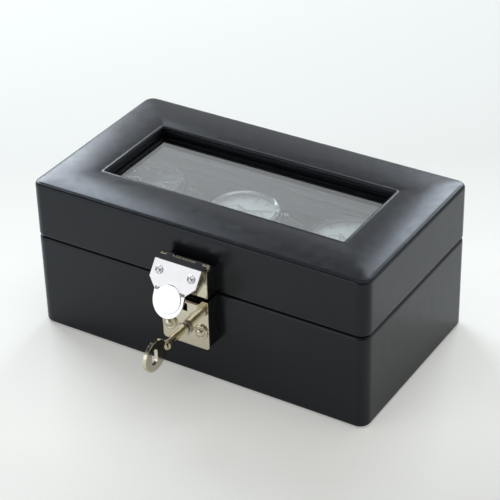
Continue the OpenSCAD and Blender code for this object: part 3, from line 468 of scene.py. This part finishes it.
def lid_padding():
    """Foam under leatherette: a low crown that falls to the rim, and to a thin roll at the window."""
    low, seat_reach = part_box("lid_pad")
    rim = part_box("lid_shell")[1]
    frame_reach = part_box("window_frame")[1]
    inner_x, inner_y = frame_reach.x - FRAME_T, frame_reach.y - FRAME_T
    outer_x, outer_y = rim.x - RIM_SHOWN, rim.y - RIM_SHOWN
    inner = rounded_loop(inner_x, inner_y, OPENING_R)
    behind = rounded_loop(inner_x + SIDES_T, inner_y + SIDES_T, OPENING_R)
    outer = rounded_loop(outer_x, outer_y, PAD_CORNER_R)
    seat = rounded_loop(seat_reach.x, seat_reach.y, SEAT_CORNER_R)
    top, foot = frame_reach.z - PAD_LOWER, rim.z - EDGE_SINK
    roll_bottom = frame_reach.z - SIDES_DROP

    def height(point, share):
        inside = math.hypot(max(abs(point.x) - inner_x, 0), max(abs(point.y) - inner_y, 0))
        sides = (outer_x - abs(point.x), outer_y - abs(point.y))
        nearest = -CORNER_BLEND * math.log(sum(math.exp(-s / CORNER_BLEND) for s in sides))
        if share < CREST:
            crown = top - INNER_FALL * (1 - share / CREST) ** 2
        else:
            crown = top - OUTER_FALL * ((share - CREST) / (1 - CREST)) ** 2
        welt = WELT_H * math.exp(-(((inside - ROLL_R) / WELT_W) ** 2))
        roll = ROLL_R * (1 - quarter_round(inside, ROLL_R))
        edge = quarter_round(max(nearest, 0), EDGE_R)
        dents = rough((point.x, point.y, DENT_SEED), DENT_SIZE, DENT_DEPTH) * edge
        full = crown + welt - roll + dents
        return foot + (full - foot) * edge

    rings = [level_ring(behind, low.z), level_ring(behind, roll_bottom)]
    rings.append(level_ring(inner, roll_bottom))
    for row in range(PAD_ROWS + 1):
        share = 0.5 - 0.5 * math.cos(math.pi * row / PAD_ROWS)
        flat = [a.lerp(b, share) for a, b in zip(inner, outer)]
        rings.append([(p.x, p.y, height(p, share)) for p in flat])
    rings += [level_ring(seat, foot - SEAT_DROP), level_ring(seat, low.z)]
    pile = Pile()
    pile.loops(rings, closed=True)
    made = pile.piece("lid_padding", "leather_cover", "lid")
    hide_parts("lid_pad")


def window_sides():
    """Leather on the four sides of the window, from the glass up to the padding's roll, in a darker
    copy of the cover leather: painted shade in the recess.
    """
    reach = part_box("window_frame")[1]
    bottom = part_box("glass_pane")[1].z
    top = reach.z - SIDES_DROP + SIDES_LAP
    inner_x, inner_y = reach.x - FRAME_T + SIDES_GAP, reach.y - FRAME_T + SIDES_GAP
    inner = rounded_loop(inner_x, inner_y, OPENING_R)
    outer = rounded_loop(inner_x + SIDES_T, inner_y + SIDES_T, OPENING_R)
    rings = [level_ring(inner, bottom), level_ring(inner, top)]
    rings += [level_ring(outer, top), level_ring(outer, bottom)]
    pile = Pile()
    pile.loops(rings, closed=True)
    made = pile.piece("window_sides", "leather_painted_shade", "lid")
    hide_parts("window_frame")


lid_padding()
window_sides()


# Cushions and straps

PILLOW_POWER = 2.6  # 2 would make the cushions oval, and more makes them squarer
CUSHION_RINGS = 72
CUSHION_SEGMENTS = 128
CUSHION_TAPER = 0.08  # Share of its size that a cushion loses slowly towards its ends
CUSHION_TUCK = 0.24  # Share that it loses close to them
END_SINK = 2.2 * MM  # How far the middle of an end is drawn in
END_SHARES = (0.02, 0.2, 0.4, 0.6, 0.8, 0.92)  # Sizes of the rings across an end
CUSHION_EASE = 0.45 * MM  # Kept inside the CAD cushion
CUSHION_REACH = 0.1 * MM  # The furthest that a swell goes past the CAD cushion
STRAP_PRESS = 0.7 * MM  # The groove under the strap
STRAP_PRESS_W = 9.2 * MM  # Half of its width
PINCH = 0.15 * MM  # The shallow groove beside the strap
PINCH_X = 12.5 * MM
PINCH_W = 3 * MM
FOLDS = 22
FOLD_DEPTH = 0.45 * MM
FOLDS_FROM = 0.55  # Where they begin, as a share of the way from the middle to the end
FOLD_WANDER = 1.7  # How unevenly they are spaced, in radians
SWELL_SIZE = 11 * MM
SWELL = 0.35 * MM
PIPING_R = 0.75 * MM
PIPING_AT = 0.985  # Share of the way from a cushion's middle to its end

STRAP_HALF_W = 8 * MM
STRAP_T = 2 * MM
STRAP_GAP = 0.3 * MM
STRAP_EDGE_R = 0.7 * MM
STRAP_STEPS = 150
CASE_GAP = 1.3 * MM  # From the bezel's edge to the end of the strap
STITCH_PITCH = 2.6 * MM
STITCH_L = 1.7 * MM
STITCH_R = 0.24 * MM
STITCH_INSET = 1.5 * MM
STITCH_SHARES = (-1, -0.6, 0.6, 1)  # Points of a stitch's line, in halves of its length
STITCH_RISES = (-0.15 * MM, 0.12 * MM, 0.12 * MM, -0.15 * MM)  # Above the strap at those points


def oval_power(value):
    """A sine or cosine, bent so that a full turn draws a pillow's outline and not a circle."""
    return math.copysign(abs(value) ** (2 / PILLOW_POWER), value)


def cushion(side):
    """A stuffed velvet cushion, drawn in at its ends and pressed in under the strap."""
    low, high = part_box(f"cushion_{side}")
    centre, half = (low + high) / 2, (high - low) / 2
    seed = ord(side[0])

    def ring(t, shrink=1.0):
        """The cushion's outline at a share of its half length, or a smaller one inside an end."""
        scale = (1 - CUSHION_TAPER * t * t - CUSHION_TUCK * abs(t) ** 7) * shrink
        x = half.x * t - math.copysign(END_SINK * (1 - shrink * shrink), t)
        strap = math.exp(-((x / STRAP_PRESS_W) ** 6))
        beside = math.exp(-(((abs(x) - PINCH_X) / PINCH_W) ** 2))
        ends = max(abs(t) - FOLDS_FROM, 0) / (1 - FOLDS_FROM)
        made = []
        for j in range(CUSHION_SEGMENTS):
            turn = 2 * math.pi * (j + 0.5) / CUSHION_SEGMENTS
            y = half.y * scale * oval_power(math.cos(turn))
            z = half.z * scale * oval_power(math.sin(turn))
            out = Vector((0, y, z)).normalized()
            wave = math.sin(FOLDS * turn + FOLD_WANDER * math.sin(3 * turn))
            folds = FOLD_DEPTH * ends**2 * shrink * wave
            swell = rough((x, y, z + seed), SWELL_SIZE, SWELL)
            offset = folds + swell - STRAP_PRESS * strap - PINCH * beside - CUSHION_EASE
            made.append(centre + Vector((x, y, z)) + out * min(offset, CUSHION_REACH))
        return made

    rings = [ring(-1, share) for share in END_SHARES]
    rings += [
        ring(math.sin(math.pi * (i / CUSHION_RINGS - 0.5))) for i in range(CUSHION_RINGS + 1)
    ]
    rings += [ring(1, share) for share in END_SHARES[::-1]]
    pile = Pile()
    pile.loops(rings)
    made = pile.piece(f"velvet_cushion_{side}", "cushion_velvet", f"cushion_{side}")
    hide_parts(f"cushion_{side}")

    piping = Pile()
    for t in (-PIPING_AT, PIPING_AT):
        piping.loops(tube(ring(t), PIPING_R, closed=True), closed=True)
    piping.piece(f"cushion_piping_{side}", "cushion_velvet", f"cushion_{side}")


def strap_path(side):
    """The middle line of a strap, from one side of the watch round under the cushion to the other."""
    bezel_low, bezel_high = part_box(f"bezel_{side}")
    low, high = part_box(f"cushion_{side}")
    centre, half = (low + high) / 2, (high - low) / 2
    reach_y, reach_z = half.y + STRAP_GAP + STRAP_T / 2, half.z + STRAP_GAP + STRAP_T / 2
    opening = (bezel_high.y - bezel_low.y) / 2 + CASE_GAP
    points = []
    for quarter_degree in range(4 * 360 + 1):
        turn = math.radians(90 - quarter_degree / 4)
        y, z = reach_y * oval_power(math.cos(turn)), reach_z * oval_power(math.sin(turn))
        if z < 0 or abs(y) > opening:
            points.append((centre.x, centre.y + y, centre.z + z))
    return np.array(points)


def strap(side):
    """A leather strap with rounded edges and a row of stitches along each edge."""
    low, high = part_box(f"strap_{side}")
    half_w = min((high.x - low.x) / 2, STRAP_HALF_W)
    points = strap_path(side)
    along = np.concatenate([[0], np.cumsum(np.linalg.norm(np.diff(points, axis=0), axis=1))])

    def place_at(distance):
        return np.array([np.interp(distance, along, points[:, k]) for k in range(3)])

    section = []
    for sx, sy, start in ((1, 1, 0), (-1, 1, 90), (-1, -1, 180), (1, -1, 270)):
        for turn in np.radians(range(start, start + 91, 30)):
            x = sx * (half_w - STRAP_EDGE_R) + STRAP_EDGE_R * math.cos(turn)
            y = sy * (STRAP_T / 2 - STRAP_EDGE_R) + STRAP_EDGE_R * math.sin(turn)
            section.append((x, y))
    path = [place_at(distance) for distance in np.linspace(0, along[-1], STRAP_STEPS)]
    pile = Pile()
    pile.loops(sweep(path, section, (1, 0, 0)))
    made = pile.piece(f"leather_strap_{side}", "strap_leather", f"cushion_{side}")
    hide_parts(f"strap_{side}")

    stitches = Pile()
    for middle in np.arange(STITCH_PITCH, along[-1] - STITCH_PITCH, STITCH_PITCH):
        spots = [place_at(middle + share * STITCH_L / 2) for share in STITCH_SHARES]
        ahead = (spots[-1] - spots[0]) / np.linalg.norm(spots[-1] - spots[0])
        out = np.cross(ahead, (1, 0, 0))
        for sx in (-1, 1):
            shift = np.array([sx * (half_w - STITCH_INSET), 0, 0])
            rises = [out * (STRAP_T / 2 + rise) for rise in STITCH_RISES]
            line = [spot + shift + rise for spot, rise in zip(spots, rises)]
            stitches.loops(tube(line, STITCH_R, 6))
    stitches.piece(f"strap_stitches_{side}", "dial_silver", f"cushion_{side}")


for side in SIDES:
    cushion(side)
    strap(side)


# Dials

FACE_DROP = 0.3 * MM  # From the top of the CAD dial's hour bars down to its face
LINE_T = 0.05 * MM
TRACK_INSET = 1.0 * MM  # From the dial's edge to the outer ends of the minute ticks
TRACK_IN, TRACK_OUT = 0.1 * MM, 0.05 * MM  # The track's line, to both sides of those ends
TICK_HALF_W, TICK_T = 0.09 * MM, 0.06 * MM
TICK_L, LONG_TICK_L = 0.7 * MM, 1.1 * MM
HOUR_INSET = 4.4 * MM
HOUR_HALF_W = 0.28 * MM
HOUR_IN, HOUR_OUT = 0.8 * MM, 0.9 * MM
FIGURE_INSET = 7.0 * MM
FIGURE_SIZE = 2.6 * MM
FIGURE_T = 0.04 * MM
FIGURE_LIFT = 0.03 * MM  # From the face up to the middle of a figure
COUNTER_AT = 0.40  # Share of the dial's radius
COUNTER_R, COUNTER_T = 3.3 * MM, 0.12 * MM
COUNTER_LINE = 0.4 * MM
HUB_HOLE_R, HUB_R, HUB_T = 0.1 * MM, 0.5 * MM, 0.2 * MM
NEEDLE_HALF_W, NEEDLE_L = 0.12 * MM, 2.3 * MM
NEEDLE_LOW, NEEDLE_HIGH = 0.1 * MM, 0.16 * MM  # Above the face
NEEDLE_TURN = 1.7  # A needle's own turn, for each degree of its counter's clock angle
BEZEL_INSET = 1.4 * MM
BEZEL_FIGURE_SIZE = 1.15 * MM
BEZEL_BAR_HALF_W, BEZEL_BAR_HALF_L = 0.1 * MM, 0.35 * MM


def add_text(pile, words, size, matrix):
    """Flat raised figures, made from Blender's own font."""
    curve = bpy.data.curves.new("figures", "FONT")
    curve.body, curve.size = words, size
    curve.align_x, curve.align_y = "CENTER", "CENTER"
    curve.extrude, curve.resolution_u = FIGURE_T / 2, 3
    holder = bpy.data.objects.new("figures", curve)
    bpy.context.scene.collection.objects.link(holder)
    evaluated = holder.evaluated_get(bpy.context.evaluated_depsgraph_get())
    mesh = bpy.data.meshes.new_from_object(evaluated)
    pile.add([v.co for v in mesh.vertices], [list(p.vertices) for p in mesh.polygons], matrix)
    bpy.data.objects.remove(holder)


def disc(node):
    """Middle on the ground, radius and top of a round CAD piece."""
    low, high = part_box(node)
    middle = Vector(((low.x + high.x) / 2, (low.y + high.y) / 2, 0))
    return middle, (high.x - low.x) / 2, high.z


def round_dial(middle, radius, degrees):
    """The matrix of a place at that radius and clock angle, upright towards the dial's middle."""
    turn = Matrix.Rotation(-math.radians(degrees), 4, "Z")
    return Matrix.Translation(middle) @ turn @ Matrix.Translation((0, radius, 0))


def dial_marks(side, ink, ring_ink):
    """Minute track, hour bars, figures and three small counters."""
    middle, radius, bar_z = disc(f"dial_{side}")
    face_z = bar_z - FACE_DROP
    body = f"cushion_{side}"
    marks = Pile()
    track = radius - TRACK_INSET
    flat = Matrix.Translation(middle)
    marks.ring(track - TRACK_IN, track + TRACK_OUT, face_z, face_z + LINE_T, flat, 96)
    for minute in range(60):
        length = TICK_L if minute % 5 else LONG_TICK_L
        place = round_dial(middle, track, minute * 6)
        marks.bar(TICK_HALF_W, -length, 0, face_z, face_z + TICK_T, place)
    for hour in range(12):
        place = round_dial(middle, radius - HOUR_INSET, hour * 30)
        marks.bar(HOUR_HALF_W, -HOUR_IN, HOUR_OUT, bar_z, bar_z + LINE_T, place)
        if hour % 3:
            continue
        place = round_dial(middle, radius - FIGURE_INSET, hour * 30)
        upright = Matrix.Translation(place.translation + Vector((0, 0, face_z + FIGURE_LIFT)))
        add_text(marks, str(hour or 12), FIGURE_SIZE, upright)
    marks.piece(f"dial_marks_{side}", ink, body, smooth=False)

    counters = Pile()
    for degrees in (90, 180, 270):
        place = round_dial(middle, radius * COUNTER_AT, degrees)
        line_r = COUNTER_R - COUNTER_LINE
        counters.ring(line_r, COUNTER_R, face_z, face_z + COUNTER_T, place, 48)
        counters.ring(HUB_HOLE_R, HUB_R, face_z, face_z + HUB_T, place, 24)
        needle = place @ Matrix.Rotation(math.radians(degrees * NEEDLE_TURN), 4, "Z")
        low, high = face_z + NEEDLE_LOW, face_z + NEEDLE_HIGH
        counters.bar(NEEDLE_HALF_W, 0, NEEDLE_L, low, high, needle)
    counters.piece(f"dial_counters_{side}", ring_ink, body, smooth=False)


def bezel_marks(side, ink):
    """Figures and bars on a bezel's flat top."""
    middle, radius, top = disc(f"bezel_{side}")
    half_l, half_t = BEZEL_BAR_HALF_L, FIGURE_T / 2
    lift = Matrix.Translation((0, 0, top + half_t))
    marks = Pile()
    for step in range(12):
        place = round_dial(middle, radius - BEZEL_INSET, step * 30) @ lift
        if step % 2:
            marks.bar(BEZEL_BAR_HALF_W, -half_l, half_l, -half_t, half_t, place)
        else:
            add_text(marks, str(step * 5 or 60), BEZEL_FIGURE_SIZE, place)
    marks.piece(f"bezel_marks_{side}", ink, f"cushion_{side}", smooth=False)


dial_marks("left", "dial_silver", "dial_silver")
dial_marks("middle", "dial_dark", "hand_steel")
dial_marks("right", "dial_dark", "dial_dark")
bezel_marks("left", "dial_silver")
bezel_marks("right", "dial_silver")


# Hasp

CREASE_Y, CREASE_Z = -76.62 * MM, 63.52 * MM  # As in the part's source, at rest
CREASE_HALF_W = 8.6 * MM
CREASE_R = 0.95 * MM


def flap_crease():
    """A duller, darker metal bead across the flap where its tongue begins: the bend is real, and the
    dark band along it is a painted reflection.
    """
    line = [(x, CREASE_Y, CREASE_Z) for x in np.linspace(-CREASE_HALF_W, CREASE_HALF_W, 9)]
    pile = Pile()
    pile.loops(tube(line, CREASE_R, 16))
    # Darker, rougher metal than the chrome flap, painting the bend's dark reflection
    pile.piece("flap_crease", "lock_works", "hasp")


flap_crease()


# Stage, lights and camera

FLOOR_SIZE = 5.0
FLOOR_GLOW_FROM, FLOOR_GLOW_TO = -0.3, 0.5  # Along the view, from the near floor to the far one
# Places along that stretch, from 0 to 1, and the strength there of the painted glow, which peaks just
# before the object and lightens its shadow
FLOOR_GLOW = ((0.0, 0.08), (0.25, 0.32), (0.45, 0.26), (0.6, 0.08), (1.0, 0.0))
AWAY = (-0.53, 0.85, 0)  # The view's direction over the floor
DARK_OVERHEAD = (-0.479, 0, 0.878)  # Mirrored by the hasp's edges that lie along X
# The room changes between two cosines from a direction, and has these two levels there
SIDE_SPAN, SIDE_LEVELS = (0.55, 0.95), (0.46, 0.12)
HEIGHT_SPAN, HEIGHT_LEVELS = (0.38, 0.66), (1.7, 0.75)
OVERHEAD_SPAN, OVERHEAD_LEVELS = (0.82, 0.95), (1.0, 0.15)
DAYLIGHT = (0.84, 0.92, 1.0)


def ray_share(graph):
    """1 for camera rays, half for glossy and transmission rays, and 0 for those that light."""
    rays = graph.node("ShaderNodeLightPath").outputs
    share = rays["Is Camera Ray"]
    for name in ("Is Glossy Ray", "Is Transmission Ray"):
        share = graph.math("MAXIMUM", share, graph.math("MULTIPLY", rays[name], 0.5))
    return share


def floor():
    """A pale floor that keeps the object's shadow, with a painted glow that cameras and mirrors see,
    which lightens that shadow just before the object.
    """
    size = FLOOR_SIZE
    mesh = bpy.data.meshes.new("floor")
    corners = [(-size, -size, 0), (size, -size, 0), (size, size, 0), (-size, size, 0)]
    mesh.from_pydata(corners, [], [(0, 1, 2, 3)])
    made = bpy.data.objects.new("floor", mesh)
    bpy.context.scene.collection.objects.link(made)
    shader = Shader("floor", (0.80, 0.80, 0.76), Roughness=0.85)
    shader.set("Specular IOR Level", 0.15)
    ramp = shader.node("ShaderNodeValToRGB")
    stops = ramp.color_ramp.elements  # A new ramp has a stop at 0 and one at 1
    for place, level in FLOOR_GLOW:
        stop = stops.new(place) if 0 < place < 1 else stops[-int(place)]
        stop.color = (level, level, level, 1.0)
    away = shader.span(shader.along(AWAY), 0.0, 1.0, FLOOR_GLOW_FROM, FLOOR_GLOW_TO)
    shader.link(away, ramp.inputs["Fac"])
    glow = shader.math("MULTIPLY", ramp.outputs["Color"], ray_share(shader))
    shader.set("Emission Color", (1.0, 1.0, 0.97, 1.0))
    shader.set("Emission Strength", glow)
    mesh.materials.append(shader.material)


def world(dark_side):
    """A pale room, brighter low down, and darker on one side and in a patch overhead."""
    made = bpy.data.worlds.new("room")
    bpy.context.scene.world = made
    made.use_nodes = True
    room = Graph(made.node_tree, "Generated")
    sides = room.span(room.along(dark_side), *SIDE_LEVELS, *SIDE_SPAN, "SMOOTHSTEP")
    height = room.span(room.along((0, 0, 1)), *HEIGHT_LEVELS, *HEIGHT_SPAN, "SMOOTHSTEP")
    overhead = room.span(room.along(DARK_OVERHEAD), *OVERHEAD_LEVELS, *OVERHEAD_SPAN)
    level = room.math("MULTIPLY", sides, room.math("MULTIPLY", height, overhead))
    background = room.tree.nodes["Background"]
    background.inputs["Color"].default_value = (0.97, 0.99, 1.0, 1.0)
    room.link(level, background.inputs["Strength"])


def lamp(name, place, target, size, watts, colour=(1, 1, 1)):
    """A rectangular lamp at a place, turned towards a target."""
    light = bpy.data.lights.new(name, "AREA")
    light.shape = "RECTANGLE"
    light.size, light.size_y = size
    light.energy, light.color = watts, colour
    made = bpy.data.objects.new(name, light)
    bpy.context.scene.collection.objects.link(made)
    made.location = place
    made.rotation_euler = (Vector(target) - Vector(place)).to_track_quat("-Z", "Y").to_euler()


def camera(azimuth, elevation, roll, place, focal):
    """A view in degrees, where azimuth 0 looks along +Y; returns the direction back to the camera."""
    data = bpy.data.cameras.new("camera")
    data.lens, data.sensor_width = focal, 36
    data.clip_start, data.clip_end = 0.01, 50
    made = bpy.data.objects.new("camera", data)
    bpy.context.scene.collection.objects.link(made)
    turn, lift, r = (math.radians(angle) for angle in (azimuth, elevation, roll))
    back = Vector(
        (math.sin(turn) * math.cos(lift), -math.cos(turn) * math.cos(lift), math.sin(lift))
    )
    right = Vector((0, 0, 1)).cross(back).normalized()
    up = back.cross(right)
    axes = (
        math.cos(r) * right + math.sin(r) * up,
        math.cos(r) * up - math.sin(r) * right,
        back,
    )
    matrix = Matrix([list(row) + [0] for row in zip(*axes)] + [[0, 0, 0, 1]])
    made.matrix_world = Matrix.Translation(place) @ matrix
    bpy.context.scene.camera = made
    return back


view_back = camera(
    azimuth=32.06,
    elevation=32.37,
    roll=-1.47,
    place=Vector((437.97, -699.74, 568.97)) * MM,
    focal=131.7,
)
floor()
world(view_back)
lamp("window", (-1.11, 0.63, 0.80), (-0.05, 0, 0.08), (0.8, 0.58), 13.0, DAYLIGHT)
lamp("back_card", (-0.20, 1.41, 0.90), (0.08, 0, 0.09), (0.5, 0.5), 8.0, DAYLIGHT)
lamp("ceiling", (0.1, 0.1, 1.6), (0, 0, 0), (1.4, 1.4), 5.6)
lamp("front_card", (-0.62, -1.1, 0.50), (0, 0, 0.05), (0.9, 0.9), 1.3)

bpy.context.scene.view_settings.view_transform = "Standard"
